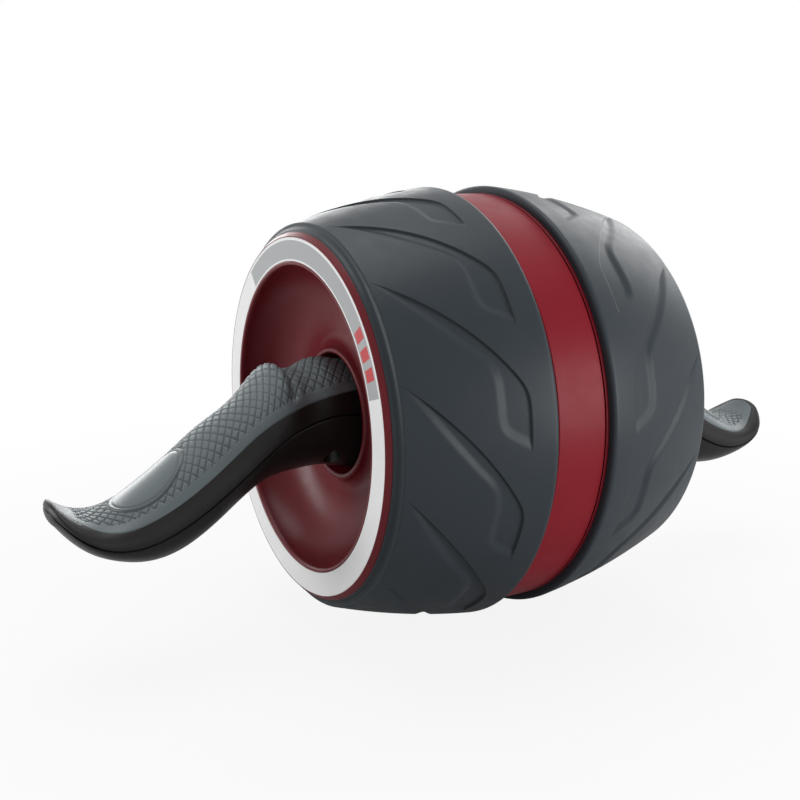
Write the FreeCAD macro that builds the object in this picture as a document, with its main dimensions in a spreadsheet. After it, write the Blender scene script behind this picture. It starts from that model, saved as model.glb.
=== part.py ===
import FreeCAD, Part
import math
import os
import re
import Sketcher

# Ab wheel roller: a wide wheel with two rubber treads, a spiral spring in its hub
# and a drooping handle at each end of the axle.
# Frame: origin at the wheel's centre, Y along the axle, Z up.
# Every right-hand piece (+Y) is drawn, and the left-hand piece is its mirror image.

Vector = FreeCAD.Vector
doc = FreeCAD.newDocument("ab_wheel_roller")

sizes = {
    # the two sizes that the wheel is worked inwards from
    "crest_radius": 95.0,
    "face_plane": 78.5,
    # treads
    "shoulder_drop": 13.8,
    "tread_crown": 1.65,
    "edge_drop": 2.9,
    "edge_width": 2.7,
    "edge_bulge": 0.9,
    "tread_thickness": 5.0,
    "seat_drop": 17.0,
    "seat_crown": 2.9,
    "tread_seat_gap": 0.3,
    # centre band and the small flange that stops each tread
    "band_depth": 3.5,
    "band_thickness": 4.5,
    "band_width": 23.8,
    "band_gap": 0.4,
    "flange_width": 0.9,
    # blade channels of the treads: margins and widths run along Y, the rest along the rolling direction
    "blade_count": 12,
    "blade_depth": 1.3,
    "blade_heel_margin": 11.8,
    "blade_channel_width": 13.5,
    "blade_tip_margin": 3.2,
    "blade_throat": -17.5,
    "blade_heel_run": 22.0,
    "blade_heel_slant": 8.0,
    "blade_ledge_end": -8.0,
    "blade_tip": 34.5,
    "blade_edge_bow": 3.4,
    "blade_back_bow": 1.6,
    "blade_mid_angle": 25.0,
    # hub shells
    "shell_wall": 3.0,
    "lip_drop": 0.5,
    "lip_bevel": 1.9,
    "lip_width": 2.3,
    "rim_thickness": 4.0,
    "trim_margin": 0.4,
    "trim_width": 9.8,
    "trim_thickness": 0.5,
    "dish_margin": 1.2,
    "dish_sag": 8.0,
    "dish_depth": 21.5,
    "moat_width": 6.0,
    "collar_width": 2.5,
    "collar_height": 4.4,
    "collar_flare": 1.4,
    "collar_crown": 0.8,
    "bore_depth": 17.4,
    "web_thickness": 4.0,
    "boss_wall": 5.0,
    "boss_gap": 5.0,
    # axle, bearings and what keeps them in place
    "axle_radius": 11.0,
    "axle_wall": 3.0,
    "axle_margin": 12.0,
    "running_gap": 0.05,
    "seat_gap": 0.1,
    "bushing_wall": 2.95,
    "bushing_flange_lip": 4.5,
    "bushing_flange_width": 2.0,
    "washer_width": 6.0,
    "washer_thickness": 1.2,
    "washer_gap": 0.3,
    "clip_width": 4.0,
    "clip_thickness": 1.2,
    "clip_wrap": 300.0,
    "groove_depth": 1.0,
    "dowel_radius": 2.5,
    "dowel_length": 34.0,
    "dowel_depth": 28.0,
    # spring drum
    "spring_width": 39.0,
    "spring_strip": 1.0,
    "spring_turns": 8,
    "spring_step": 1.8,
    "spring_tab": 2.4,
    "tab_gap": 0.3,
    "arbor_wall": 5.0,
    "arbor_slot_depth": 3.0,
    "arbor_gap": 2.0,
    "case_clearance": 10.0,
    "case_wall": 5.0,
    "case_floor": 2.5,
    "case_end_gap": 1.0,
    "case_flange_gap": 5.0,
    "case_flange_width": 3.0,
    "cover_screw_count": 6,
    "cover_screw_radius": 1.25,
    "cover_screw_head": 2.2,
    "cover_screw_head_height": 1.4,
    "cover_screw_grip": 8.0,
    # screws that join the hub shells
    "hub_screw_count": 6,
    "hub_screw_radius": 2.0,
    "hub_screw_head": 2.9,
    "hub_screw_head_height": 2.4,
    "hub_screw_seat": 13.5,
    "hub_screw_bite": 18.0,
    "hub_pocket_wall": 0.9,
    "screw_gap": 0.2,
    # handles: each named section has its step along Y from the one before, the height of its middle,
    # and half its height and width
    "root_gap": 1.2, "root_radius": 23.5, "handle_gap": 2.5,
    "neck_step": 11.0, "neck_level": 0.6, "neck_slim": 0.3,
    "throat_step": 11.0, "throat_level": 2.2, "throat_tall": 22.6, "throat_wide": 22.8,
    "dip_step": 10.0, "dip_level": 0.5, "dip_tall": 21.1, "dip_wide": 22.0,
    "knuckle_step": 8.0, "knuckle_level": 1.4, "knuckle_tall": 22.9, "knuckle_wide": 22.5,
    "shoulder_step": 11.0, "shoulder_level": -4.9, "shoulder_tall": 19.5, "shoulder_wide": 22.5,
    "arm_step": 18.0, "arm_level": -17.6, "arm_tall": 19.5, "arm_wide": 22.3,
    "palm_step": 16.0, "palm_level": -28.5, "palm_tall": 18.2, "palm_wide": 22.0,
    "heel_step": 15.0, "heel_level": -35.0, "heel_tall": 13.9, "heel_wide": 22.0,
    "curl_step": 13.0, "curl_level": -36.3, "curl_tall": 9.2, "curl_wide": 21.5,
    "flick_step": 11.0, "flick_level": -32.6, "flick_tall": 6.7, "flick_wide": 20.0,
    "tip_step": 11.0, "tip_level": -22.9, "tip_tall": 5.0, "tip_wide": 13.5,
    "tip_round": 2.5, "tip_sweep": 10.0,
    "section_fullness": 0.58,
    # the height of the handle's parting at each section, and of the shell from there up to the grip
    "root_seam": 4.0, "neck_seam": 4.3, "throat_seam": 4.4, "dip_seam": 2.1,
    "knuckle_seam": -0.8, "shoulder_seam": -7.9, "arm_seam": -21.5, "palm_seam": -31.6,
    "heel_seam": -37.3, "curl_seam": -37.6, "flick_seam": -33.1, "tip_seam": -23.5,
    "root_band": 9.5, "neck_band": 9.3, "throat_band": 8.0, "dip_band": 7.9,
    "knuckle_band": 8.7, "shoulder_band": 10.3, "arm_band": 10.8, "palm_band": 9.7,
    "heel_band": 8.2, "curl_band": 6.2, "flick_band": 6.3, "tip_band": 5.2,
    "parting_gap": 0.4,
    "grip_thickness": 2.5,
    "grip_tip_thickness": 1.0,
    "grip_tip_margin": 6.5,
    # screws that close each handle from below
    "handle_screw_radius": 1.8,
    "handle_screw_head": 3.5,
    "handle_screw_head_height": 2.2,
    "handle_screw_length": 20.0,
    "handle_screw_floor": 9.0,
    "root_screw_step": 9.5,
    "root_screw_gap": 4.2,
    "arm_screw_step": 3.0,
}

# Radii and places along the axle that several pieces share, worked out from the sizes.
places = {
    "shoulder_radius": "crest_radius - shoulder_drop",
    "edge_radius": "shoulder_radius - edge_drop",
    "seat_crest": "crest_radius - tread_thickness",
    "seat_shoulder": "seat_crest - seat_drop",
    "band_radius": "crest_radius - band_depth",
    "band_seat_radius": "band_radius - band_thickness",
    "flange_start": "band_width / 2 + band_gap",
    "tread_start": "flange_start + flange_width",
    "tread_end": "face_plane - lip_width",
    "shoulder_across": "tread_end - edge_width",
    "blade_heel_across": "tread_start + blade_heel_margin",
    "blade_ledge_across": "blade_heel_across + blade_channel_width",
    "blade_tip_across": "tread_end - blade_tip_margin",
    "blade_heel_start": "blade_throat - blade_heel_run",
    "blade_ledge_start": "blade_heel_start + blade_heel_slant",
    "lip_radius": "edge_radius - lip_drop",
    "trim_outer_radius": "lip_radius - lip_bevel - trim_margin",
    "trim_inner_radius": "trim_outer_radius - trim_width",
    "trim_floor": "face_plane - trim_thickness",
    "rim_back": "face_plane - rim_thickness",
    "dish_radius": "trim_inner_radius - dish_margin",
    "moat_plane": "face_plane - dish_depth",
    "collar_plane": "moat_plane + collar_height",
    "hub_bore_radius": "root_radius + handle_gap",
    "collar_radius": "hub_bore_radius + collar_width",
    "moat_radius": "collar_radius + moat_width",
    "web_plane": "collar_plane - bore_depth",
    "bushing_radius": "axle_radius + running_gap + bushing_wall",
    "bushing_flange_radius": "bushing_radius + bushing_flange_lip",
    "boss_radius": "bushing_radius + boss_wall",
    "boss_end": "case_outside + boss_gap",
    "flange_plane": "web_plane + bushing_flange_width",
    "washer_plane": "flange_plane + washer_gap",
    "washer_radius": "axle_radius + washer_width",
    "clip_plane": "washer_plane + washer_thickness + seat_gap",
    "clip_radius": "axle_radius + clip_width",
    "pocket_radius": "hub_screw_head + screw_gap",
    "pillar_radius": "pocket_radius + hub_pocket_wall",
    "pillar_foot": "case_flange_width / 2",
    "hub_screw_circle": "seat_shoulder - pillar_radius",
    "case_outer_radius": "hub_screw_circle - pillar_radius - case_clearance",
    "case_radius": "case_outer_radius - case_wall",
    "case_inside": "spring_width / 2 + case_end_gap",
    "case_outside": "case_inside + case_floor",
    "case_flange_radius": "band_seat_radius - shell_wall - case_flange_gap",
    "cover_screw_circle": "case_radius + case_wall / 2",
    "cover_screw_tip": "case_outside - cover_screw_grip",
    "arbor_radius": "axle_radius + arbor_wall",
    "drum_hole_radius": "arbor_radius + arbor_gap",
    "spring_inner_radius": "arbor_radius + spring_step",
    "spring_pitch": "(case_radius - spring_tab / 2 - spring_inner_radius) / spring_turns",
    "root_reach": "clip_plane + clip_thickness + root_gap",
    "root_level": "0",
    "root_tall": "root_radius",
    "root_wide": "root_radius",
    "neck_tall": "root_radius - neck_slim",
    "neck_wide": "root_radius - neck_slim",
    "dowel_reach": "root_reach + dowel_depth",
    "axle_reach": "dowel_reach + axle_margin",
    "grip_reach": "tip_reach - grip_tip_margin",
    "root_screw_reach": "neck_reach + root_screw_step",
    "root_screw_spread": "axle_radius + root_screw_gap",
    "arm_screw_reach": "arm_reach + arm_screw_step",
}

# The handle's sections in order, each a step further along the axle.
stations = ["root", "neck", "throat", "dip", "knuckle", "shoulder",
            "arm", "palm", "heel", "curl", "flick", "tip"]
for before, name in zip(stations, stations[1:]):
    places[name + "_reach"] = f"{before}_reach + {name}_step"

sheet = doc.addObject("Spreadsheet::Sheet", "sizes")
for row, (alias, number) in enumerate(sizes.items(), start=1):
    sheet.set(f"A{row}", alias)
    sheet.set(f"B{row}", str(number))
    sheet.setAlias(f"B{row}", alias)
doc.recompute()


def formula(text):
    # an expression on the sheet's cells, from one written with the bare names of sizes and places
    def spelled(word):
        name = word[0]
        if name in places:
            return f"({formula(places[name])})"
        return f"sizes.{name}" if name in sizes else name

    return re.sub(r"[a-z_]\w*", spelled, text)


def value(text):
    return float(sheet.evalExpression(formula(text)))


def bind(thing, prop, text):
    thing.setExpression(prop, formula(text))


def origin_plane(body, role):
    return next(item for item in body.Origin.OriginFeatures if item.Role == role)


def trace(sketch, corners):
    # A closed outline of lines and arcs. A corner is (x, y) or (x, y, sag), as formulas:
    # sag is how far the edge to the next corner bulges, to the right of the way it runs.
    points = [Vector(value(corner[0]), value(corner[1]), 0) for corner in corners]
    ends = []
    for index, corner in enumerate(corners):
        start = points[index]
        stop = points[(index + 1) % len(points)]
        if len(corner) == 2:
            sketch.addGeometry(Part.LineSegment(start, stop))
            ends.append((1, 2))
            continue
        sag = value(corner[2])
        chord = stop - start
        left = Vector(-chord.y, chord.x, 0).normalize()
        radius = (chord.Length ** 2 / 4 + sag ** 2) / (2 * abs(sag))
        lift = math.copysign(radius - abs(sag), sag)
        centre = (start + stop) * 0.5 + left * lift
        angles = [math.atan2(point.y - centre.y, point.x - centre.x) for point in (start, stop)]
        circle = Part.Circle(centre, Vector(0, 0, 1), radius)
        if sag > 0:
            sketch.addGeometry(Part.ArcOfCircle(circle, angles[0], angles[1]))
            ends.append((1, 2))
        else:
            sketch.addGeometry(Part.ArcOfCircle(circle, angles[1], angles[0]))
            ends.append((2, 1))
    for index, corner in enumerate(corners):
        following = (index + 1) % len(corners)
        first = ends[index][0]
        sketch.addConstraint(Sketcher.Constraint(
            "Coincident", index, ends[index][1], following, ends[following][0]))
        for kind, text, place in (("DistanceX", corner[0], points[index].x),
                                  ("DistanceY", corner[1], points[index].y)):
            number = sketch.addConstraint(Sketcher.Constraint(kind, -1, 1, index, first, place))
            bind(sketch, f"Constraints[{number}]", text)
        if len(corner) == 3:
            ahead = corners[following]
            span = f"((({ahead[0]}) - ({corner[0]}))^2 + (({ahead[1]}) - ({corner[1]}))^2)"
            bow = f"abs({corner[2]})"
            number = sketch.addConstraint(Sketcher.Constraint(
                "Radius", index, sketch.Geometry[index].Radius))
            bind(sketch, f"Constraints[{number}]", f"({span} / 4 + {bow}^2) / (2 * {bow})")


def turned(label, corners, angle="360"):
    # a body of revolution about Y, from an outline of (radius, y) corners
    body = doc.addObject("PartDesign::Body", label)
    sketch = body.newObject("Sketcher::SketchObject", label + "_outline")
    sketch.AttachmentSupport = (origin_plane(body, "XY_Plane"), [""])
    sketch.MapMode = "FlatFace"
    trace(sketch, corners)
    turn = body.newObject("PartDesign::Revolution", label + "_turn")
    turn.Profile = sketch
    turn.ReferenceAxis = (sketch, ["V_Axis"])
    bind(turn, "Angle", angle)
    return body


def ring(inner, outer, start, stop):
    return [(inner, start), (outer, start), (outer, stop), (inner, stop)]


def rod(label, axis, base, radius, length):
    # a round rod from its base point along +X, +Y or +Z
    cylinder = doc.addObject("Part::Cylinder", label)
    turns = {"X": FreeCAD.Rotation(Vector(0, 1, 0), 90),
             "Y": FreeCAD.Rotation(Vector(1, 0, 0), -90),
             "Z": FreeCAD.Rotation()}
    cylinder.Placement = FreeCAD.Placement(Vector(), turns[axis])
    bind(cylinder, "Radius", radius)
    bind(cylinder, "Height", length)
    for letter, text in zip("xyz", base):
        bind(cylinder, f"Placement.Base.{letter}", text)
    return cylinder


def rods_round(label, count, circle, start, radius, length):
    # rods parallel to the axle, evenly spaced on a circle round it
    total = int(value(count))
    return [rod(f"{label}_{index}", "Y",
                (f"({circle}) * cos(360 * {index} / {total})", start,
                 f"({circle}) * sin(360 * {index} / {total})"), radius, length)
            for index in range(total)]


def fused(label, pieces):
    result = doc.addObject("Part::MultiFuse", label)
    result.Shapes = pieces
    return result


def cut(label, base, tools):
    result = doc.addObject("Part::Cut", label)
    result.Base = base
    result.Tool = tools[0] if len(tools) == 1 else fused(label + "_cutters", tools)
    return result


def mirrored(label, source):
    result = doc.addObject("Part::Mirroring", label)
    result.Source = source
    result.Normal = Vector(0, 1, 0)
    return result


def shaped(label, shape):
    result = doc.addObject("Part::Feature", label)
    result.Shape = shape
    return result


# Treads: a crowned rubber ring with swept blade channels round it.

def blade_prism():
    # the channel's outline, drawn flat against the tread at +X and pushed outwards through it
    def point(along, across):
        return Vector(0, value(across), value(along))

    def bowed(start, stop, bow):
        run = stop - start
        side = Vector(0, -run.z, run.y).normalize()
        return Part.Arc(start, (start + stop) * 0.5 + side * value(bow), stop).toShape()

    tip = point("blade_tip", "blade_tip_across")
    throat = point("blade_throat", "blade_heel_across")
    corner = point("blade_heel_start", "blade_heel_across")
    ledge_start = point("blade_ledge_start", "blade_ledge_across")
    ledge_end = point("blade_ledge_end", "blade_ledge_across")
    edges = [bowed(tip, throat, "-blade_edge_bow"),
             Part.LineSegment(throat, corner).toShape(),
             Part.LineSegment(corner, ledge_start).toShape(),
             Part.LineSegment(ledge_start, ledge_end).toShape(),
             bowed(ledge_end, tip, "blade_back_bow")]
    return Part.Face(Part.Wire(edges)).extrude(Vector(2 * value("crest_radius"), 0, 0))


def round_wheel(shape, count, start):
    # copies of a shape, turned in even steps from +X towards +Z
    copies = []
    for index in range(int(value(count))):
        copy = shape.copy()
        copy.rotate(Vector(), Vector(0, -1, 0), value(f"{start} + 360 * {index} / {count}"))
        copies.append(copy)
    return Part.makeCompound(copies)


tread_blank = turned("tread_blank", [
    ("seat_crest + tread_seat_gap", "tread_start", "seat_crown"),
    ("seat_shoulder + tread_seat_gap", "tread_end"),
    ("edge_radius", "tread_end", "-edge_bulge"),
    ("shoulder_radius", "shoulder_across", "-tread_crown"),
    ("crest_radius", "tread_start"),
])
blade_channel = doc.addObject("Part::Common", "blade_channel")
blade_channel.Base = turned("channel_band", [
    ("crest_radius - blade_depth", "tread_start", "tread_crown"),
    ("shoulder_radius - blade_depth", "shoulder_across"),
    ("shoulder_radius + tread_thickness", "shoulder_across", "-tread_crown"),
    ("crest_radius + tread_thickness", "tread_start"),
])
blade_channel.Tool = shaped("blade_outline", blade_prism())
doc.recompute()
blade_channels = shaped("blade_channels", round_wheel(blade_channel.Shape, "blade_count", "blade_mid_angle"))
tread_right = cut("tread_right", tread_blank, [blade_channels])
tread_left = mirrored("tread_left", tread_right)

# Centre band and trim rings.
centre_band = turned("centre_band", ring(
    "band_seat_radius + seat_gap", "band_radius", "-band_width / 2", "band_width / 2"))
trim_ring_right = turned("trim_ring_right", ring(
    "trim_inner_radius", "trim_outer_radius", "trim_floor", "face_plane"))
trim_ring_left = mirrored("trim_ring_left", trim_ring_right)

# Hub shells: dished halves that meet at the wheel's middle, with screw pillars inside.
half_shell = turned("half_shell", [
    ("band_seat_radius", "0"),
    ("band_seat_radius", "flange_start"),
    ("band_radius", "flange_start"),
    ("band_radius", "tread_start"),
    ("seat_crest", "tread_start", "seat_crown"),
    ("seat_shoulder", "tread_end"),
    ("lip_radius", "tread_end"),
    ("lip_radius - lip_bevel", "face_plane"),
    ("trim_outer_radius + seat_gap", "face_plane"),
    ("trim_outer_radius + seat_gap", "trim_floor"),
    ("trim_inner_radius - seat_gap", "trim_floor"),
    ("trim_inner_radius - seat_gap", "face_plane"),
    ("dish_radius", "face_plane", "-dish_sag"),
    ("moat_radius", "moat_plane", "-collar_flare"),
    ("collar_radius", "collar_plane", "collar_crown"),
    ("hub_bore_radius", "collar_plane"),
    ("hub_bore_radius", "web_plane"),
    ("bushing_radius", "web_plane"),
    ("bushing_radius", "boss_end"),
    ("boss_radius", "boss_end"),
    ("boss_radius", "web_plane - web_thickness"),
    ("hub_bore_radius + shell_wall", "web_plane - web_thickness"),
    ("hub_bore_radius + shell_wall", "moat_plane - shell_wall"),
    ("moat_radius", "moat_plane - shell_wall", "dish_sag"),
    ("dish_radius + shell_wall", "rim_back"),
    ("seat_shoulder - shell_wall", "rim_back", "-seat_crown"),
    ("band_seat_radius - shell_wall", "tread_start"),
    ("band_seat_radius - shell_wall", "0"),
])
pillars = rods_round("pillar", "hub_screw_count", "hub_screw_circle", "pillar_foot",
                     "pillar_radius", "rim_back - pillar_foot")
whole_shell = fused("whole_shell", [half_shell] + pillars)
hub_shell_right = cut("hub_shell_right", whole_shell, rods_round(
    "pilot_hole", "hub_screw_count", "hub_screw_circle", "pillar_foot",
    "hub_screw_radius + running_gap", "hub_screw_bite + screw_gap"))
hub_shell_left = cut(
    "hub_shell_left", mirrored("whole_shell_left", whole_shell),
    rods_round("clear_hole", "hub_screw_count", "hub_screw_circle", "-hub_screw_seat",
               "hub_screw_radius + screw_gap", "hub_screw_seat")
    + rods_round("screw_pocket", "hub_screw_count", "hub_screw_circle", "-face_plane",
                 "pocket_radius", "face_plane - hub_screw_seat"))
hub_screws = fused(
    "hub_screws",
    rods_round("hub_shank", "hub_screw_count", "hub_screw_circle", "-hub_screw_seat", "hub_screw_radius",
               "hub_screw_seat + case_flange_width / 2 + hub_screw_bite")
    + rods_round("hub_head", "hub_screw_count", "hub_screw_circle",
                 "-hub_screw_seat - hub_screw_head_height", "hub_screw_head", "hub_screw_head_height"))

# Spring drum: a case with a clamping flange, its cover, and the screws between them.
drum = turned("drum", [
    ("drum_hole_radius", "-case_outside"),
    ("case_outer_radius", "-case_outside"),
    ("case_outer_radius", "-case_flange_width / 2"),
    ("case_flange_radius", "-case_flange_width / 2"),
    ("case_flange_radius", "case_flange_width / 2"),
    ("case_outer_radius", "case_flange_width / 2"),
    ("case_outer_radius", "case_inside"),
    ("case_radius", "case_inside"),
    ("case_radius", "-case_inside"),
    ("drum_hole_radius", "-case_inside"),
])
spring_slot = doc.addObject("Part::Box", "spring_slot")
bind(spring_slot, "Length", "spring_tab + tab_gap")
bind(spring_slot, "Width", "2 * case_inside")
bind(spring_slot, "Height", "spring_strip + 2 * tab_gap")
bind(spring_slot, "Placement.Base.x", "case_radius - spring_tab / 2")
bind(spring_slot, "Placement.Base.y", "-case_inside")
bind(spring_slot, "Placement.Base.z", "-spring_strip - tab_gap")
spring_case = cut(
    "spring_case", drum,
    [spring_slot]
    + rods_round("flange_hole", "hub_screw_count", "hub_screw_circle", "-case_flange_width / 2",
                 "hub_screw_radius + screw_gap", "case_flange_width")
    + rods_round("cover_pilot", "cover_screw_count", "cover_screw_circle", "cover_screw_tip - screw_gap",
                 "cover_screw_radius + running_gap", "cover_screw_grip"))
spring_cover = cut(
    "spring_cover",
    turned("cover_disc", ring("drum_hole_radius", "case_outer_radius", "case_inside", "case_outside")),
    rods_round("cover_hole", "cover_screw_count", "cover_screw_circle", "case_inside",
               "cover_screw_radius + screw_gap / 2", "case_floor"))
cover_screws = fused(
    "cover_screws",
    rods_round("cover_shank", "cover_screw_count", "cover_screw_circle", "cover_screw_tip",
               "cover_screw_radius", "cover_screw_grip")
    + rods_round("cover_head", "cover_screw_count", "cover_screw_circle", "case_outside",
                 "cover_screw_head", "cover_screw_head_height"))


# Power spring: a flat strip in half-circle arcs that step outwards, with a tab at each end.

def spring_path(offset):
    # half circles about centres that alternate either side of the axis, widened by the offset
    pitch = value("spring_pitch")
    start = value("spring_inner_radius") + pitch / 4
    arcs = []
    for half in range(2 * int(value("spring_turns"))):
        way = 1 if half % 2 else -1
        centre = way * pitch / 4
        radius = start + half * pitch / 2 + offset
        arcs.append((centre, radius, -way))
    return arcs


def spring_arc(centre, radius, way, level):
    ends = [Vector(centre + way * radius, level, 0), Vector(centre - way * radius, level, 0)]
    return Part.Arc(ends[0], Vector(centre, level, way * radius), ends[1]).toShape()


def spiral_spring():
    strip = value("spring_strip")
    width = value("spring_width")
    level = -width / 2
    outer = [spring_arc(*arc, level) for arc in spring_path(strip / 2)]
    inner = [spring_arc(*arc, level) for arc in spring_path(-strip / 2)]
    ends = [(outer[0].firstVertex(), inner[0].firstVertex()),
            (outer[-1].lastVertex(), inner[-1].lastVertex())]
    caps = [Part.LineSegment(first.Point, second.Point).toShape() for first, second in ends]
    outline = Part.Wire(Part.__sortEdges__(outer + inner + caps))
    coil = Part.Face(outline).extrude(Vector(0, width, 0))
    tab = value("spring_tab")
    inner_end = value("spring_inner_radius")
    outer_end = inner_end + value("spring_turns") * value("spring_pitch")
    inner_tab = Part.makeBox(tab, width, strip, Vector(inner_end - tab, level, 0))
    outer_tab = Part.makeBox(tab, width, strip, Vector(outer_end, level, -strip))
    return coil.fuse([inner_tab, outer_tab]).removeSplitter()


def spring_self_gap():
    # least distance between points of the strip's middle line more than half a turn apart, less the strip
    steps = 24
    points = []
    for centre, radius, way in spring_path(0):
        for step in range(steps):
            turn = math.pi * step / steps
            points.append((centre + way * radius * math.cos(turn), way * radius * math.sin(turn)))
    nearest = min(math.dist(points[first], points[second])
                  for first in range(len(points))
                  for second in range(first + steps + 1, len(points)))
    return nearest - value("spring_strip")


power_spring = shaped("power_spring", spiral_spring())
print(f"power spring: least gap between turns {spring_self_gap():.2f} mm")

# Axle, arbor, dowels and bearings.
axle_tube = turned("axle_tube", [
    ("axle_radius - axle_wall", "-axle_reach"),
    ("axle_radius", "-axle_reach"),
    ("axle_radius", "-clip_plane - clip_thickness - seat_gap"),
    ("axle_radius - groove_depth", "-clip_plane - clip_thickness - seat_gap"),
    ("axle_radius - groove_depth", "-clip_plane"),
    ("axle_radius", "-clip_plane"),
    ("axle_radius", "clip_plane"),
    ("axle_radius - groove_depth", "clip_plane"),
    ("axle_radius - groove_depth", "clip_plane + clip_thickness + seat_gap"),
    ("axle_radius", "clip_plane + clip_thickness + seat_gap"),
    ("axle_radius", "axle_reach"),
    ("axle_radius - axle_wall", "axle_reach"),
])


def dowel(label, reach, length, gap):
    return rod(label, "Z", ("0", reach, f"-({length}) / 2"), f"dowel_radius + {gap}", length)


def arbor_rod(label, gap):
    return rod(label, "Z", ("0", "0", "-arbor_radius"), f"dowel_radius + {gap}", "2 * arbor_radius")


through_axle = "2 * axle_radius + axle_wall"
axle = cut("axle", axle_tube, [
    dowel("axle_hole_left", "-dowel_reach", through_axle, "running_gap"),
    arbor_rod("axle_hole_middle", "running_gap"),
    dowel("axle_hole_right", "dowel_reach", through_axle, "running_gap")])
arbor_sleeve = turned("arbor_sleeve", ring(
    "axle_radius + running_gap", "arbor_radius", "-case_inside", "case_inside"))
arbor_slot = doc.addObject("Part::Box", "arbor_slot")
bind(arbor_slot, "Length", "arbor_slot_depth")
bind(arbor_slot, "Width", "2 * case_inside")
bind(arbor_slot, "Height", "spring_strip + 2 * tab_gap")
bind(arbor_slot, "Placement.Base.x", "arbor_radius - arbor_slot_depth")
bind(arbor_slot, "Placement.Base.y", "-case_inside")
bind(arbor_slot, "Placement.Base.z", "-tab_gap")
spring_arbor = cut("spring_arbor", arbor_sleeve, [arbor_slot, arbor_rod("arbor_hole", "running_gap")])
arbor_pin = arbor_rod("arbor_pin", "0")
axle_pin_right = dowel("axle_pin_right", "dowel_reach", "dowel_length", "0")
axle_pin_left = mirrored("axle_pin_left", axle_pin_right)

bushing_right = turned("bushing_right", [
    ("axle_radius + running_gap", "boss_end"),
    ("bushing_radius", "boss_end"),
    ("bushing_radius", "web_plane"),
    ("bushing_flange_radius", "web_plane"),
    ("bushing_flange_radius", "flange_plane"),
    ("axle_radius + running_gap", "flange_plane"),
])
bushing_left = mirrored("bushing_left", bushing_right)
thrust_washer_right = turned("thrust_washer_right", ring(
    "axle_radius + running_gap", "washer_radius", "washer_plane", "washer_plane + washer_thickness"))
thrust_washer_left = mirrored("thrust_washer_left", thrust_washer_right)
retaining_clip_right = turned("retaining_clip_right", ring(
    "axle_radius - groove_depth + running_gap", "clip_radius",
    "clip_plane + seat_gap / 2", "clip_plane + clip_thickness + seat_gap / 2"), "clip_wrap")
retaining_clip_left = mirrored("retaining_clip_left", retaining_clip_right)

# Handles: a loft through oval sections, parted into an upper and a lower shell, with a
# rubber grip let into the top of the upper one.
# Each section is an oval of four quarter curves, from one point of the compass to the next.
compass = [(1, 0), (0, 1), (-1, 0), (0, -1)]


def oval_controls():
    full = value("section_fullness")
    controls = []
    for start, stop in zip(compass, compass[1:] + compass[:1]):
        controls += [start,
                     (start[0] + full * stop[0], start[1] + full * stop[1]),
                     (stop[0] + full * start[0], stop[1] + full * start[1])]
    return controls


def grip_depth(name):
    # the grip's thickness at a section: even as far as the heel, then thinning to the tip
    even = value("grip_thickness")
    past_heel = value(f"({name}_reach - heel_reach) / (tip_reach - heel_reach)")
    return even - (even - value("grip_tip_thickness")) * max(0, past_heel)


def handle_skin(inset):
    # a solid whose four sides run smoothly through the sections, each drawn in by its inset
    reaches = [value(name + "_reach") for name in stations]
    rails = []
    for across, up in oval_controls():
        rail = Part.BSplineCurve()
        rail.interpolate(Parameters=reaches, Points=[
            Vector((value(name + "_wide") - inset(name)) * across, value(name + "_reach"),
                   value(name + "_level") + (value(name + "_tall") - inset(name)) * up) for name in stations])
        rails.append(rail)
    sides = []
    for first in range(0, len(rails), 3):
        quarter = [rails[(first + step) % len(rails)] for step in range(4)]
        side = Part.BSplineSurface()
        side.buildFromPolesMultsKnots(
            [rail.getPoles() for rail in quarter], [4, 4], quarter[0].getMultiplicities(),
            [0, 1], quarter[0].getKnots(), False, False, 3, 3)
        sides.append(side)
    faces = [side.toShape() for side in sides]
    for end in (reaches[0], reaches[-1]):
        faces.append(Part.Face(Part.Wire([side.vIso(end).toShape() for side in sides])))
    shell = Part.makeShell(faces)
    shell.sewShape()
    solid = Part.makeSolid(shell)
    if solid.Volume < 0:
        solid.reverse()
    return solid


def above(heights, end):
    # everything over a curve that runs along the handle, as far out as the end
    side = 2 * value("root_wide")
    top = 2 * value("root_tall")
    curve = Part.BSplineCurve()
    curve.interpolate([Vector(-side, reach, height) for reach, height in heights])
    first, last = heights[0][0], heights[-1][0]
    corners = [Vector(-side, last, heights[-1][1]), Vector(-side, last, top),
               Vector(-side, first, top), Vector(-side, first, heights[0][1])]
    sides = [Part.LineSegment(start, stop).toShape() for start, stop in zip(corners, corners[1:])]
    block = Part.Face(Part.Wire([curve.toShape()] + sides)).extrude(Vector(2 * side, 0, 0))
    limit = Part.makeBox(2 * side, end, 4 * top, Vector(-side, 0, -2 * top))
    return block.common(limit)


def heights_along(height):
    # a height at each section, carried a little past both ends of the handle
    margin = value("grip_thickness")
    heights = [(value(name + "_reach"), value(height(name))) for name in stations]
    (first, root_height), (last, tip_height) = heights[0], heights[-1]
    heights[0] = (first - margin, root_height)
    heights[-1] = (last + margin, tip_height)
    return heights


def tip_block(start, middle, stop, spread, push):
    # a block that ends in an arc across the tip and spreads past the handle everywhere else
    back = Vector(0, -start.y, 0)
    corners = [stop, stop + spread, stop + spread + back, start - spread + back, start - spread, start]
    edges = [Part.LineSegment(first, second).toShape() for first, second in zip(corners, corners[1:])]
    return Part.Face(Part.Wire([Part.Arc(start, middle, stop).toShape()] + edges)).extrude(push)


def behind_tip(size, step):
    # a size of the section that lies a step behind the tip, with a little to spare
    return value(f"tip_{size} + (flick_{size} - tip_{size}) * {step} / tip_step + parting_gap")


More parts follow.
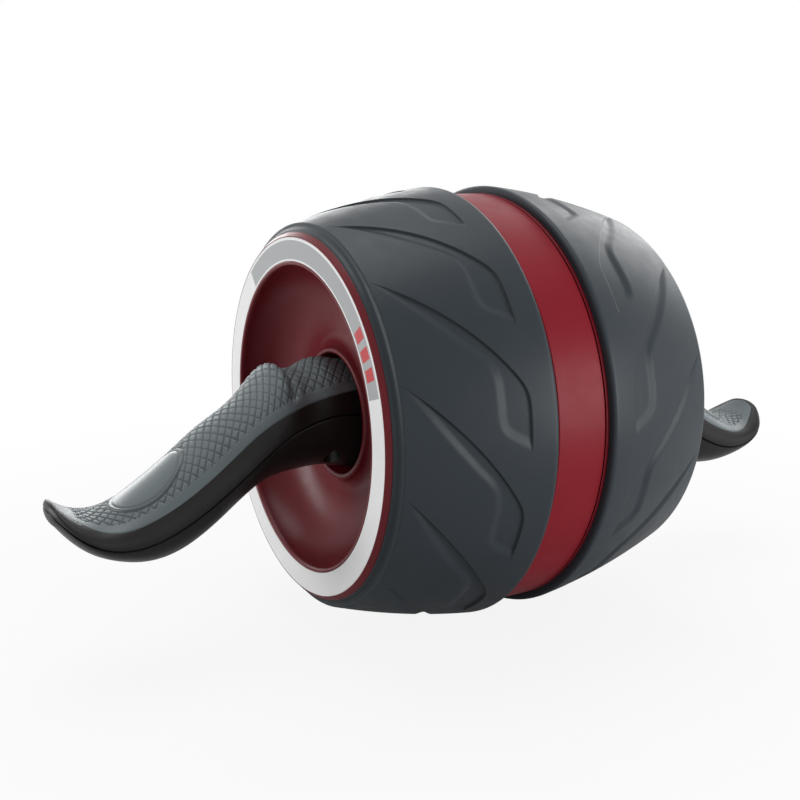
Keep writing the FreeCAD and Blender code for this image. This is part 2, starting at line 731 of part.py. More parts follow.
def swept_end(reach):
    # everything behind an arc as seen from above, which comes out as far as the reach
    far = value("2 * root_tall")
    wide = behind_tip("wide", "tip_sweep")
    back = reach - value("tip_sweep")
    return tip_block(Vector(-wide, back, -far), Vector(0, reach, -far),
                     Vector(wide, back, -far), Vector(far, 0, 0), Vector(0, 0, 2 * far))


def rounded_tip(solid):
    # the outer end rounded by one arc as seen from the side and one as seen from above
    far = value("2 * root_tall")
    tip, back = value("tip_reach"), value("tip_reach - tip_round")
    level = behind_tip("level", "tip_round") - value("parting_gap")
    tall = behind_tip("tall", "tip_round")
    middle = (level + value("tip_level")) / 2
    from_side = tip_block(Vector(-far, back, level - tall), Vector(-far, tip, middle),
                          Vector(-far, back, level + tall), Vector(0, 0, far), Vector(2 * far, 0, 0))
    return solid.common(from_side).common(swept_end(tip))


skin = rounded_tip(handle_skin(lambda name: 0))
core = handle_skin(grip_depth)
axle_socket = Part.makeCylinder(
    value("axle_radius + seat_gap"), value("axle_reach + seat_gap"), Vector(), Vector(0, 1, 0))
dowel_socket = Part.makeCylinder(
    value("dowel_radius + seat_gap"), value("dowel_length + 2 * seat_gap"),
    Vector(0, value("dowel_reach"), value("-dowel_length / 2 - seat_gap")))
grip_edge = heights_along(lambda name: f"{name}_seam + {name}_band")
upper_edge = heights_along(lambda name: f"{name}_seam")
lower_edge = heights_along(lambda name: f"{name}_seam - parting_gap")
tip_limit = value("tip_reach + grip_thickness")
grip_shape = skin.common(above(grip_edge, tip_limit)).common(swept_end(value("grip_reach"))).cut(core)
upper_shape = skin.common(above(upper_edge, tip_limit)).cut(grip_shape)
lower_shape = skin.cut(above(lower_edge, tip_limit))

# Handle screws come up from pockets in the lower shell: two beside the axle and one along the arm.
screw_places = [("root_screw_spread", "root_screw_reach", "root_level"),
                ("-root_screw_spread", "root_screw_reach", "root_level"),
                ("0", "arm_screw_reach", "arm_level")]
screw_rods = []
pilots = []
pockets = []
for index, (across, reach, level) in enumerate(screw_places):
    seat = f"{level} - handle_screw_floor"
    head = f"{seat} - handle_screw_head_height"
    screw_rods.append(rod(f"handle_shank_{index}", "Z", (across, reach, seat),
                          "handle_screw_radius", "handle_screw_length"))
    screw_rods.append(rod(f"handle_head_{index}", "Z", (across, reach, head),
                          "handle_screw_head", "handle_screw_head_height"))
    pilots.append(Part.makeCylinder(
        value("handle_screw_radius + running_gap"), value("handle_screw_length + screw_gap"),
        Vector(value(across), value(reach), value(seat))))
    pockets.append(Part.makeCylinder(
        value("handle_screw_head + screw_gap"), value("2 * root_tall"),
        Vector(value(across), value(reach), value(seat)), Vector(0, 0, -1)))

handle_screws_right = fused("handle_screws_right", screw_rods)
handle_screws_left = mirrored("handle_screws_left", handle_screws_right)
handle_upper_right = shaped("handle_upper_right", upper_shape.cut([axle_socket, dowel_socket] + pilots))
handle_upper_left = mirrored("handle_upper_left", handle_upper_right)
handle_lower_right = shaped(
    "handle_lower_right", lower_shape.cut([axle_socket, dowel_socket] + pilots + pockets))
handle_lower_left = mirrored("handle_lower_left", handle_lower_right)
grip_right = shaped("grip_right", grip_shape)
grip_left = mirrored("grip_left", grip_right)

pieces = [
    hub_shell_left, hub_shell_right, tread_left, tread_right, centre_band, trim_ring_left, trim_ring_right,
    bushing_left, bushing_right, spring_case, spring_cover, cover_screws, hub_screws, power_spring,
    axle, spring_arbor, arbor_pin, axle_pin_left, axle_pin_right, thrust_washer_left, thrust_washer_right,
    retaining_clip_left, retaining_clip_right, handle_upper_left, handle_upper_right,
    handle_lower_left, handle_lower_right, grip_left, grip_right, handle_screws_left, handle_screws_right]

doc.recompute()
for item in doc.Objects:
    if "Invalid" in item.State or "Error" in item.State:
        raise RuntimeError(f"{item.Name} failed to build: {item.State}")
for piece in pieces:
    if piece.Shape.isNull() or not piece.Shape.isValid():
        raise RuntimeError(f"{piece.Label} has no valid shape")

os.makedirs("parts", exist_ok=True)
for piece in pieces:
    piece.Shape.exportStep(f"parts/{piece.Label}.step")
    print(f"{piece.Label}: {len(piece.Shape.Solids)} solids, {piece.Shape.Volume / 1000:.2f} cm3")
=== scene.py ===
import math
import bpy
import numpy as np
from mathutils import Matrix


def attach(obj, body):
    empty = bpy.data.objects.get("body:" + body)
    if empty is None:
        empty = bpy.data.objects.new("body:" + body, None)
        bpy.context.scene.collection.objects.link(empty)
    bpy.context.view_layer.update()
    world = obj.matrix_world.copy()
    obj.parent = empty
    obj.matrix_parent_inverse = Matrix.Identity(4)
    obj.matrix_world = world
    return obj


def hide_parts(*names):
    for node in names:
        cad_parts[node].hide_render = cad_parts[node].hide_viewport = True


# Ab wheel roller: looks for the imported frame. The axle lies along Y, Z is up, and left is -Y.
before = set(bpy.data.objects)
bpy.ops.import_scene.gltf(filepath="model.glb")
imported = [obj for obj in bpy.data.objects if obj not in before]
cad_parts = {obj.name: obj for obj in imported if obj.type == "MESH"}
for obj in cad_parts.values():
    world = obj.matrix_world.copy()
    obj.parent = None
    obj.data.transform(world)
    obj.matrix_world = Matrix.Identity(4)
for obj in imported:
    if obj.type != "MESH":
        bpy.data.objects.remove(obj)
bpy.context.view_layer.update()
mm = 0.001
sides = {"left": -1, "right": 1}
tablePoints = 2000  # of a curve that is looked up backwards
print("frame loaded:", len(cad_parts), "nodes")


# Mesh helpers. A shape is a grid of points, one row after another, in millimetres.

def gridQuads(rows, columns, wrapRows, wrapColumns):
    # the four-sided faces between neighbours of a grid, joined end to end where it wraps
    r = np.arange(rows if wrapRows else rows - 1)[:, None]
    c = np.arange(columns if wrapColumns else columns - 1)[None, :]
    rNext, cNext = (r + 1) % rows, (c + 1) % columns
    corners = [r * columns + c, r * columns + cNext, rNext * columns + cNext, rNext * columns + c]
    return np.stack(np.broadcast_arrays(*corners), -1).reshape(-1, 4)


def facingOut(points, quads, caps):
    # enclosed volume = sum of a . (b x c) + a . (c x d) over the faces, measured from the middle;
    # where it is negative every face is turned round
    a, b, c, d = (points[quads[:, k]] - points.mean(0) for k in range(4))
    volume = (a * (np.cross(b, c) + np.cross(c, d))).sum()
    faces = quads.tolist() + [cap.tolist() for cap in caps]
    return faces if volume > 0 else [face[::-1] for face in faces]


def addPiece(name, shape, material, body, slotName, node, sharp=None, **fields):
    # shape = points, quads and end caps; fields are numbers at the points that its material reads
    points, quads, caps = shape
    mesh = bpy.data.meshes.new(name)
    mesh.from_pydata((points * mm).tolist(), [], facingOut(points, quads, caps))
    mesh.polygons.foreach_set("use_smooth", np.ones(len(mesh.polygons), bool))
    if sharp:
        mesh.set_sharp_from_angle(angle=math.radians(sharp))
    for fieldName, numbers in fields.items():
        mesh.attributes.new(fieldName, "FLOAT", "POINT").data.foreach_set("value", numbers.astype(np.float32))
    mesh.materials.append(material)
    mesh.update()
    piece = bpy.data.objects.new(name, mesh)
    bpy.context.scene.collection.objects.link(piece)
    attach(piece, body)
    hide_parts(node)
    return piece


def mirroredShape(shape, way):
    return (shape[0] * (1, way, 1), *shape[1:])


def arcBetween(start, stop, sag, count):
    # count points from start to stop on the arc that bulges by sag to the left of the way it runs
    start, stop = np.array(start, float), np.array(stop, float)
    run = stop - start
    length = np.hypot(*run)
    left = np.array([-run[1], run[0]]) / length
    radius = (length ** 2 / 4 + sag ** 2) / (2 * abs(sag))
    half = math.asin(length / 2 / radius)
    turn = np.linspace(-half, half, count)
    along = np.outer(radius * np.sin(turn), run / length)
    lift = np.outer(radius * np.cos(turn) - radius + abs(sag), left) * np.sign(sag)
    return (start + stop) / 2 + along + lift


def softCorners(corners):
    # a closed outline of (radius, y, round) corners: each is blended over its round length by a
    # parabola, with one more point outside each end of it that keeps the flat beside it flat
    steps, longest, guard = 5, 0.45, 1.1  # a blend's points, the most of a side that it takes, the points beside it
    place = np.array([corner[:2] for corner in corners], float)
    result = []
    for index, (here, corner) in enumerate(zip(place, corners)):
        reach = corner[2] if len(corner) > 2 else 0
        if not reach:
            result.append(here[None])
            continue
        before, after = place[index - 1] - here, place[(index + 1) % len(place)] - here
        lengths = np.hypot(*before), np.hypot(*after)
        tips = [way / length * min(reach, longest * length) for way, length in zip((before, after), lengths)]
        t = np.linspace(0, 1, steps)[:, None]
        blend = here + (1 - t) ** 2 * tips[0] + t ** 2 * tips[1]
        result.append(np.vstack([here + guard * tips[0], blend, here + guard * tips[1]]))
    return np.vstack(result)


def turnedRing(profile, segments):
    # x = radius cos a, z = radius sin a, carrying a closed (radius, y) outline once round the axle
    angle = np.linspace(0, 2 * math.pi, segments, endpoint=False)[:, None]
    radius, along = profile[:, 0][None], profile[:, 1][None]
    grid = np.stack(np.broadcast_arrays(radius * np.cos(angle), along, radius * np.sin(angle)), -1)
    return grid.reshape(-1, 3), gridQuads(segments, len(profile), True, True), []


def closedBar(outer, inner):
    # a bar of sections, each with an outer and an inner edge, closed by a face at either end
    rows = len(outer)
    grid = np.concatenate([outer, inner[:, ::-1]], 1)
    columns = grid.shape[1]
    ends = [np.arange(columns)[::-1], np.arange(columns) + (rows - 1) * columns]
    return grid.reshape(-1, 3), gridQuads(rows, columns, False, True), ends


def gridNormals(grid):
    # unit cross product of the steps along the rows and across them
    normal = np.cross(np.gradient(grid, axis=0), np.gradient(grid, axis=1))
    return normal / np.maximum(np.linalg.norm(normal, axis=-1, keepdims=True), 1e-9)


def ease(t):
    # from 0 to 1 as t does, level at both ends
    t = np.clip(t, 0, 1)
    return t * t * (3 - 2 * t)


# Materials: each starts from a Principled shader and gets its grain from noise on object coordinates.

def newPaint(name, **sockets):
    material = bpy.data.materials.new(name)
    material.use_nodes = True
    shader = material.node_tree.nodes["Principled BSDF"]
    for socket, number in sockets.items():
        shader.inputs[socket.replace("_", " ")].default_value = number
    return material, material.node_tree, shader


def addNode(tree, kind, **settings):
    node = tree.nodes.new(kind)
    for key, setting in settings.items():
        if key in node.inputs:
            node.inputs[key].default_value = setting
        else:
            setattr(node, key, setting)
    return node


def feed(tree, source, socket):
    # an output linked to the socket, or a plain value set on it
    if isinstance(source, bpy.types.NodeSocket):
        tree.links.new(source, socket)
    else:
        socket.default_value = source


def arithmetic(tree, operation, first, second=0):
    node = addNode(tree, "ShaderNodeMath", operation=operation)
    feed(tree, first, node.inputs[0])
    feed(tree, second, node.inputs[1])
    return node.outputs[0]


def mixed(tree, kind, factor, first, second, **settings):
    # from the first to the second, outputs or plain values, as the factor goes from 0 to 1
    inputs, result = {"FLOAT": ((0, 2, 3), 0), "RGBA": ((0, 6, 7), 2)}[kind]  # the node's sockets by kind
    node = addNode(tree, "ShaderNodeMix", data_type=kind, **settings)
    for place, source in zip(inputs, (factor, first, second)):
        feed(tree, source, node.inputs[place])
    return node.outputs[result]


def ranged(tree, field, span, low, high, **settings):
    # a span of the field carried over to low to high
    node = addNode(tree, "ShaderNodeMapRange", **settings)
    for key, number in zip(("From Min", "From Max", "To Min", "To Max"), (*span, low, high)):
        node.inputs[key].default_value = number
    tree.links.new(field, node.inputs["Value"])
    return node.outputs["Result"]


# noise: the span that most of it lies in, its scales per metre and its details
noiseSpec = {"span": (0.3, 0.7), "clouds": 28, "sheen": 160, "streaks": 300, "detail": 4, "grainDetail": 2}


def noiseField(tree, scale, detail, stretch=(1, 1, 1)):
    coords = addNode(tree, "ShaderNodeTexCoord")
    mapping = addNode(tree, "ShaderNodeMapping", Scale=stretch)
    noise = addNode(tree, "ShaderNodeTexNoise", Scale=scale, Detail=detail)
    tree.links.new(coords.outputs["Object"], mapping.inputs["Vector"])
    tree.links.new(mapping.outputs["Vector"], noise.inputs["Vector"])
    return noise.outputs["Fac"]


def twoTone(tree, field, dark, light):
    ramp = addNode(tree, "ShaderNodeValToRGB")
    for element, position, tone in zip(ramp.color_ramp.elements, noiseSpec["span"], (dark, light)):
        element.position, element.color = position, (*tone, 1)
    tree.links.new(field, ramp.inputs["Fac"])
    return ramp.outputs["Color"]


def grain(tree, shader, scale, height):
    bump = addNode(tree, "ShaderNodeBump", Strength=1.0, Distance=height)
    tree.links.new(noiseField(tree, scale, noiseSpec["grainDetail"]), bump.inputs["Height"])
    tree.links.new(bump.outputs["Normal"], shader.inputs["Normal"])


def mouldedPaint(name, dark, light, rough, grainSize, grainHeight, gloss):
    # a moulded finish: two close tones in soft clouds, uneven roughness, and a fine grain
    material, tree, shader = newPaint(name, Specular_IOR_Level=gloss)
    clouds, sheen = (noiseField(tree, noiseSpec[kind], noiseSpec["detail"]) for kind in ("clouds", "sheen"))
    tree.links.new(twoTone(tree, clouds, dark, light), shader.inputs["Base Color"])
    tree.links.new(ranged(tree, sheen, noiseSpec["span"], *rough), shader.inputs["Roughness"])
    grain(tree, shader, 1 / (grainSize * mm), grainHeight * mm)
    return material


def retouched(material, socketName, kind, fieldName, target, **settings):
    # an input of the shader brought towards a target where the piece's own field rises to 1
    tree = material.node_tree
    socket = tree.nodes["Principled BSDF"].inputs[socketName]
    field = addNode(tree, "ShaderNodeAttribute", attribute_name=fieldName)
    mix = mixed(tree, kind, field.outputs["Fac"], socket.links[0].from_socket, target, **settings)
    tree.links.new(mix, socket)


def tintedBy(material, fieldName, tint, blend):
    # the colour blended with a tint where the piece's field rises: painted shade in grooves and creases, and the
    # band's red on the hub shell's flange
    retouched(material, "Base Color", "RGBA", fieldName, (*tint, 1), blend_type=blend)


def polishedBy(material, fieldName, smooth):
    # the roughness brought towards a smoother one
    retouched(material, "Roughness", "FLOAT", fieldName, smooth)


# moulded finishes: a dark and a light tone, the span of the roughness, the grain in millimetres, the gloss
paintSpec = {
    "treadRubber": {"dark": (0.029, 0.037, 0.044), "light": (0.033, 0.041, 0.049), "rough": (0.34, 0.42),
                    "grainSize": 0.35, "grainHeight": 0.012, "gloss": 0.17},
    # painted shade: the shell's red is darker than the band's to stand for the dish's shade
    "shadedRedShell": {"dark": (0.118, 0.0040, 0.0090), "light": (0.134, 0.0050, 0.0105), "rough": (0.30, 0.38),
                 "grainSize": 0.6, "grainHeight": 0.006, "gloss": 0.24},
    "redBand": {"dark": (0.205, 0.007, 0.015), "light": (0.230, 0.009, 0.018), "rough": (0.34, 0.42),
                "grainSize": 0.6, "grainHeight": 0.008, "gloss": 0.13},
    "handlePlastic": {"dark": (0.0075, 0.0062, 0.0060), "light": (0.0095, 0.0082, 0.0080),
                      "rough": (0.34, 0.44), "grainSize": 0.3, "grainHeight": 0.012, "gloss": 0.24},
    "gripRubber": {"dark": (0.104, 0.128, 0.136), "light": (0.118, 0.144, 0.153), "rough": (0.44, 0.54),
                   "grainSize": 0.3, "grainHeight": 0.015, "gloss": 0.36},
    "bearingPlastic": {"dark": (0.66, 0.65, 0.60), "light": (0.72, 0.71, 0.66), "rough": (0.40, 0.50),
                       "grainSize": 0.5, "grainHeight": 0.01, "gloss": 0.5},
    "drumPlastic": {"dark": (0.020, 0.020, 0.021), "light": (0.030, 0.030, 0.032), "rough": (0.50, 0.62),
                    "grainSize": 0.4, "grainHeight": 0.02, "gloss": 0.5},
}
paints = {name: mouldedPaint(name, **spec) for name, spec in paintSpec.items()}
# painted shade: the tread darkened along the blades' steep edges, where the walls stand in shadow
tintedBy(paints["treadRubber"], "crease", (0.6, 0.6, 0.6), "MULTIPLY")
# the band's own red on the flange, where the shell's painted shade is lifted
tintedBy(paints["shadedRedShell"], "flange", (0.210, 0.008, 0.016), "MIX")
# painted shade: the shell darkened in the gap between the flange and the band
tintedBy(paints["shadedRedShell"], "grooveShade", (0.1, 0.1, 0.1), "MULTIPLY")
# painted shade: the grip darkened in its knurl grooves and pad lines, as if in shadow
tintedBy(paints["gripRubber"], "crease", (0.38, 0.38, 0.38), "MULTIPLY")
polishedBy(paints["gripRubber"], "polish", 0.27)
print("materials made")


# Treads: a crowned rubber ring with swept blade channels.
# All sizes are in millimetres; along runs round the wheel and across along the axle.
treadSpec = {
    "start": 13.2, "shoulder": 73.5, "end": 76.2, "crest": 95.0, "slope": 7.06, "curve": 6.74,
    "edgeRadius": 78.3, "thickness": 4.7, "cornerRound": 2.2, "shoulderBulge": 0.95,
    "bladeCount": 12, "bladeAngle": 25.0, "bladeDepth": 1.0,
    "tip": (34.5, 73.0), "throat": (-17.5, 25.0), "heel": (-39.5, 25.0),
    "ledgeStart": (-31.5, 38.5), "ledgeEnd": (-8.0, 38.5), "edgeBow": 3.4, "backBow": -1.6,
    "steepWall": 0.6, "softWall": 4.0, "cornerSweep": 18.0, "creaseWidth": 0.5,
    "columns": 64, "rows": 86, "crowding": 0.55, "rowCrowding": 1.5, "rowCrowdingWidth": 2.5,
    "arcPoints": 40, "shoulderRows": 9, "seatRows": 14, "cornerRows": 6, "seatBelowEdge": 3.0, "guessPoints": 400,
}


def crownRadius(across):
    # radius = crest - slope t - curve t squared, with t from 0 at the band to 1 at the shoulder
    t = (across - treadSpec["start"]) / (treadSpec["shoulder"] - treadSpec["start"])
    return treadSpec["crest"] - treadSpec["slope"] * t - treadSpec["curve"] * t * t


def sweptLine(points, sweep):
    # the line evenly divided, then averaged over the sweep length so that its corners run round
    step = 0.5
    gaps = np.hypot(*np.diff(points, axis=0).T)
    run = np.concatenate([[0], np.cumsum(gaps)])
    even = np.linspace(0, run[-1], int(run[-1] / step))
    line = np.stack([np.interp(even, run, points[:, k]) for k in range(2)], -1)
    pad = int(sweep / step / 2)
    before = 2 * line[0] - line[pad:0:-1]
    after = 2 * line[-1] - line[-2:-pad - 2:-1]
    weights = np.hanning(2 * pad + 3)[1:-1]
    longer = np.vstack([before, line, after])
    return np.stack([np.convolve(longer[:, k], weights / weights.sum(), "valid") for k in range(2)], -1)


def lineDistance(points, line):
    # least distance from each point to the pieces of a line
    start, step = line[:-1], np.diff(line, axis=0)
    offset = points[:, None] - start[None]
    share = np.clip((offset * step).sum(-1) / (step * step).sum(-1), 0, 1)
    return np.linalg.norm(offset - share[..., None] * step, axis=-1).min(1)


def insideOutline(points, outline):
    # odd count of outline edges crossed on the way to one side
    x, y = points[:, 0, None], points[:, 1, None]
    x0, y0 = outline.T
    x1, y1 = np.roll(outline, -1, 0).T
    crosses = ((y0 > y) != (y1 > y)) & (x < (x1 - x0) * (y - y0) / np.where(y1 == y0, 1e-9, y1 - y0) + x0)
    return crosses.sum(1) % 2 == 1


def bladeEdges():
    # the plain arc of the steep edge, then the steep and the soft edge with swept corners
    s = treadSpec
    deepArc = arcBetween(s["tip"], s["throat"], s["edgeBow"], s["arcPoints"])
    deep = sweptLine(np.vstack([deepArc, s["heel"]]), s["cornerSweep"])
    softArc = arcBetween(s["tip"], s["ledgeEnd"], s["backBow"], s["arcPoints"])
    soft = sweptLine(np.vstack([softArc, s["ledgeStart"], s["heel"]]), s["cornerSweep"])
    return deepArc, deep, soft


def bladeDepth(along, across):
    # depth = full depth, eased in over the steep wall at one edge and over the soft wall at the other
    deep, soft = bladeEdges()[1:]
    points = np.stack([along.ravel(), across.ravel()], -1)
    inside = insideOutline(points, np.vstack([deep, soft[::-1]]))
    depth = np.zeros(len(points))
    near = points[inside]
    wall = ease(lineDistance(near, deep) / treadSpec["steepWall"])
    depth[inside] = treadSpec["bladeDepth"] * wall * ease(lineDistance(near, soft) / treadSpec["softWall"])
    # painted shade: a dark line along the steep edge, where the wall stands in shadow
    crease = np.exp(-(lineDistance(points, deep) / treadSpec["creaseWidth"]) ** 2) * inside
    return depth.reshape(along.shape), crease.reshape(along.shape)


def treadSection():
    # the closed outline: the crown, with rows crowded at the blades' heels, then shoulder, seat and corner
    s = treadSpec
    guess = np.linspace(s["start"] + s["cornerRound"], s["shoulder"], s["guessPoints"])
    density = 1 + s["rowCrowding"] * np.exp(-((guess - s["heel"][1]) / s["rowCrowdingWidth"]) ** 2)
    share = np.concatenate([[0], np.cumsum(density[:-1])])
    across = np.interp(np.linspace(0, share[-1], s["rows"]), share, guess)
    crown = np.stack([crownRadius(across), across], -1)
    shoulder = arcBetween(crown[-1], (s["edgeRadius"], s["end"]), s["shoulderBulge"], s["shoulderRows"])[1:]
    seatAcross = np.linspace(s["end"], s["start"], s["seatRows"])
    seatRadius = np.minimum(crownRadius(seatAcross) - s["thickness"], s["edgeRadius"] - s["seatBelowEdge"])
    seat = np.stack([seatRadius, seatAcross], -1)
    t = np.linspace(0, 1, s["cornerRows"])[:-1, None]
    corner = np.array([crownRadius(s["start"]), s["start"]])
    low = corner - (s["cornerRound"], 0)
    rounded = (1 - t) ** 2 * low + 2 * t * (1 - t) * corner + t ** 2 * crown[0]
    return np.vstack([crown, shoulder, seat, rounded])


def treadGrid():
    # Rows run round the outline of the section and columns round the wheel. The columns lean with the
    # swept edge of the blades and crowd together there, so that the steep walls stay crisp.
    s, section = treadSpec, treadSection()
    pitch = 2 * math.pi / s["bladeCount"]
    t = np.arange(s["columns"]) / s["columns"]
    column = pitch * (t - s["crowding"] * np.sin(2 * math.pi * t) / (2 * math.pi))
    deepArc = bladeEdges()[0][::-1]
    lean = np.interp(section[:, 1], deepArc[:, 1], deepArc[:, 0])
    lean = np.arcsin(lean / crownRadius(np.clip(section[:, 1], deepArc[0, 1], deepArc[-1, 1])))
    angle = column[:, None] + lean[None]
    radius, wide = (np.broadcast_to(section[:, k], angle.shape) for k in range(2))
    depth, crease = np.zeros(angle.shape), np.zeros(angle.shape)
    outer = slice(0, s["rows"] + 2)  # the crown and the start of the shoulder
    farOff = 1e3  # stands for points away round the wheel
    for turn in (-2, -1, 0, 1):  # the blades that reach into one pitch
        swing = angle[:, outer] + turn * pitch
        along = np.where(np.abs(swing) < 1, radius[:, outer] * np.sin(swing), farOff)
        channel, line = bladeDepth(along, wide[:, outer])
        depth[:, outer] = np.maximum(depth[:, outer], channel)
        crease[:, outer] = np.maximum(crease[:, outer], line)
    tangent = np.gradient(section, axis=0)
    normal = np.stack([tangent[:, 1], -tangent[:, 0]], -1)
    normal /= np.linalg.norm(normal, axis=1, keepdims=True)
    radius = radius - depth * normal[:, 0]
    wide = wide - depth * normal[:, 1]
    turns = np.arange(s["bladeCount"])[:, None, None] * pitch + math.radians(s["bladeAngle"])
    angle = (angle[None] + turns).reshape(-1, len(section))
    radius, wide, crease = (np.tile(part, (s["bladeCount"], 1)) for part in (radius, wide, crease))
    grid = np.stack([radius * np.cos(angle), wide, radius * np.sin(angle)], -1)
    return (grid.reshape(-1, 3), gridQuads(*angle.shape, True, True), []), crease.ravel()


treadShape, treadCreaseShade = treadGrid()
for side, way in sides.items():
    addPiece(f"rubberTread_{side}", mirroredShape(treadShape, way), paints["treadRubber"],
             "wheel", "tread_rubber", f"tread_{side}", crease=treadCreaseShade)
print("treads made:", 2 * len(treadShape[1]), "faces")


# Centre band: a plain red ring with eased edges.
bandSpec = {"radius": 91.5, "seat": 87.1, "halfWidth": 11.3, "edgeRound": 0.5, "segments": 256}
bandOutline = softCorners([
    (bandSpec["radius"], -bandSpec["halfWidth"], bandSpec["edgeRound"]),
    (bandSpec["radius"], bandSpec["halfWidth"], bandSpec["edgeRound"]),
    (bandSpec["seat"], bandSpec["halfWidth"]),
    (bandSpec["seat"], -bandSpec["halfWidth"])])
addPiece("centreBand", turnedRing(bandOutline, bandSpec["segments"]), paints["redBand"],
         "wheel", "red_band", "centre_band")
print("centre band made")


# Hub shells: the rim, dish, collar and web of each half, turned as one closed wall.
shellSpec = {
    "bandSeat": 87.0, "flange": 91.5, "flangeStart": 11.8, "flangeRound": 0.3, "treadStart": 13.2, "treadEnd": 76.2,
    "seatCrest": 90.0, "seatShoulder": 73.0, "seatCrown": 2.9, "lip": 77.8, "lipFace": 75.9, "face": 78.5,
    "trimOuter": 75.6, "trimInner": 65.6, "trimFloor": 78.0, "dish": 64.5, "dishSag": 8.0,
    "moat": 34.5, "moatFloor": 57.0, "moatSag": 1.4, "collar": 28.5, "collarTop": 61.4, "collarCrown": 0.8,
    "bore": 26.0, "web": 44.0, "webBack": 40.0, "hole": 14.0, "boss": 19.0, "bossEnd": 28.0,
    "wall": 3.0, "rimBack": 74.5, "segments": 256, "lipRound": 0.5, "faceRound": 0.9, "dishRound": 0.6,
    "webRound": 0.8, "dishLead": (0.5, 0.7), "seatPoints": 24, "dishPoints": 36, "flarePoints": 8,
    "crownPoints": 9, "backPoints": 24, "insidePoints": 16, "grooveMargin": 0.01, "grooveShare": 0.8,
}


def shellOutline():
    # once round the wall: band seat, tread seat, lip, trim seat, dish, collar, web, and back inside
    s = shellSpec
    moat, collar = (s["moat"], s["moatFloor"]), (s["collar"], s["collarTop"])
    dishStart = (s["dish"] - s["dishLead"][0], s["face"] - s["dishLead"][1])
    seat = arcBetween((s["seatCrest"], s["treadStart"]), (s["seatShoulder"], s["treadEnd"]),
                      -s["seatCrown"], s["seatPoints"])
    dish = arcBetween(dishStart, moat, s["dishSag"], s["dishPoints"])
    flare = arcBetween(moat, collar, s["moatSag"], s["flarePoints"])[1:]
    crown = arcBetween(collar, (s["bore"], s["collarTop"]), -s["collarCrown"], s["crownPoints"])[1:]
    back = arcBetween((s["moat"], s["moatFloor"] - s["wall"]), (s["dish"] + s["wall"], s["rimBack"]),
                      -s["dishSag"], s["backPoints"])
    inside = arcBetween((s["seatShoulder"] - s["wall"], s["rimBack"]),
                        (s["bandSeat"] - s["wall"], s["treadStart"]), s["seatCrown"], s["insidePoints"])
    corners = [(s["bandSeat"], 0), (s["bandSeat"], s["flangeStart"]),
               (s["flange"], s["flangeStart"], s["flangeRound"]), (s["flange"], s["treadStart"], s["flangeRound"])]
    corners += [tuple(point) for point in seat]
    corners += [(s["lip"], s["treadEnd"], s["lipRound"]), (s["lipFace"], s["face"], s["faceRound"]),
                (s["trimOuter"], s["face"]), (s["trimOuter"], s["trimFloor"]),
                (s["trimInner"], s["trimFloor"]), (s["trimInner"], s["face"]),
                (s["dish"], s["face"], s["dishRound"])]
    corners += [tuple(point) for point in np.vstack([dish, flare, crown])]
    corners += [(s["bore"], s["web"], s["webRound"]), (s["hole"], s["web"]), (s["hole"], s["bossEnd"]),
                (s["boss"], s["bossEnd"]), (s["boss"], s["webBack"]),
                (s["bore"] + s["wall"], s["webBack"]), (s["bore"] + s["wall"], s["moatFloor"] - s["wall"])]
    corners += [tuple(point) for point in np.vstack([back, inside])]
    corners += [(s["bandSeat"] - s["wall"], 0)]
    return softCorners(corners)


shellShape = turnedRing(shellOutline(), shellSpec["segments"])
shellRadius, shellAcross = np.hypot(shellShape[0][:, 0], shellShape[0][:, 2]), shellShape[0][:, 1]
grooveRadius = shellSpec["flange"] - shellSpec["grooveShare"] * shellSpec["flangeRound"]
shellFields = {  # painted shade: the shell's red, darkened as the dish's shade, goes back to the band's red on the flange; and painted shade in the groove between the flange and the band
    "flange": ease(shellRadius - shellSpec["seatCrest"]),
    "grooveShade": ((shellAcross < shellSpec["flangeStart"] + shellSpec["grooveMargin"])
               & (shellRadius < grooveRadius)).astype(float),
}
for side, way in sides.items():
    addPiece(f"hubShell_{side}", mirroredShape(shellShape, way), paints["shadedRedShell"],
             "wheel", "red_shell", f"hub_shell_{side}", **shellFields)
print("hub shells made:", 2 * len(shellShape[1]), "faces")


# Trim rings: thin printed rings let into the rims, white with a silver grey arc over the top, between
# white borders, and three plain red bars at its front end. Angles run from +X towards +Z.
trimSpec = {
    "outer": 75.5, "inner": 65.7, "face": 78.5, "back": 78.02, "edgeRound": 0.15, "segments": 256,
    "greyArc": (17.0, 130.0), "greyRadii": (66.5, 74.3), "barArcs": ((22.5, 26.5), (29.0, 33.0), (35.5, 39.5)),
    "barRadii": (67.4, 73.4), "white": (0.86, 0.86, 0.86), "grey": (0.40, 0.41, 0.42), "red": (0.55, 0.055, 0.06),
    "roughness": 0.40, "gloss": 0.3, "grainScale": 1500, "grainHeight": 0.004,
}


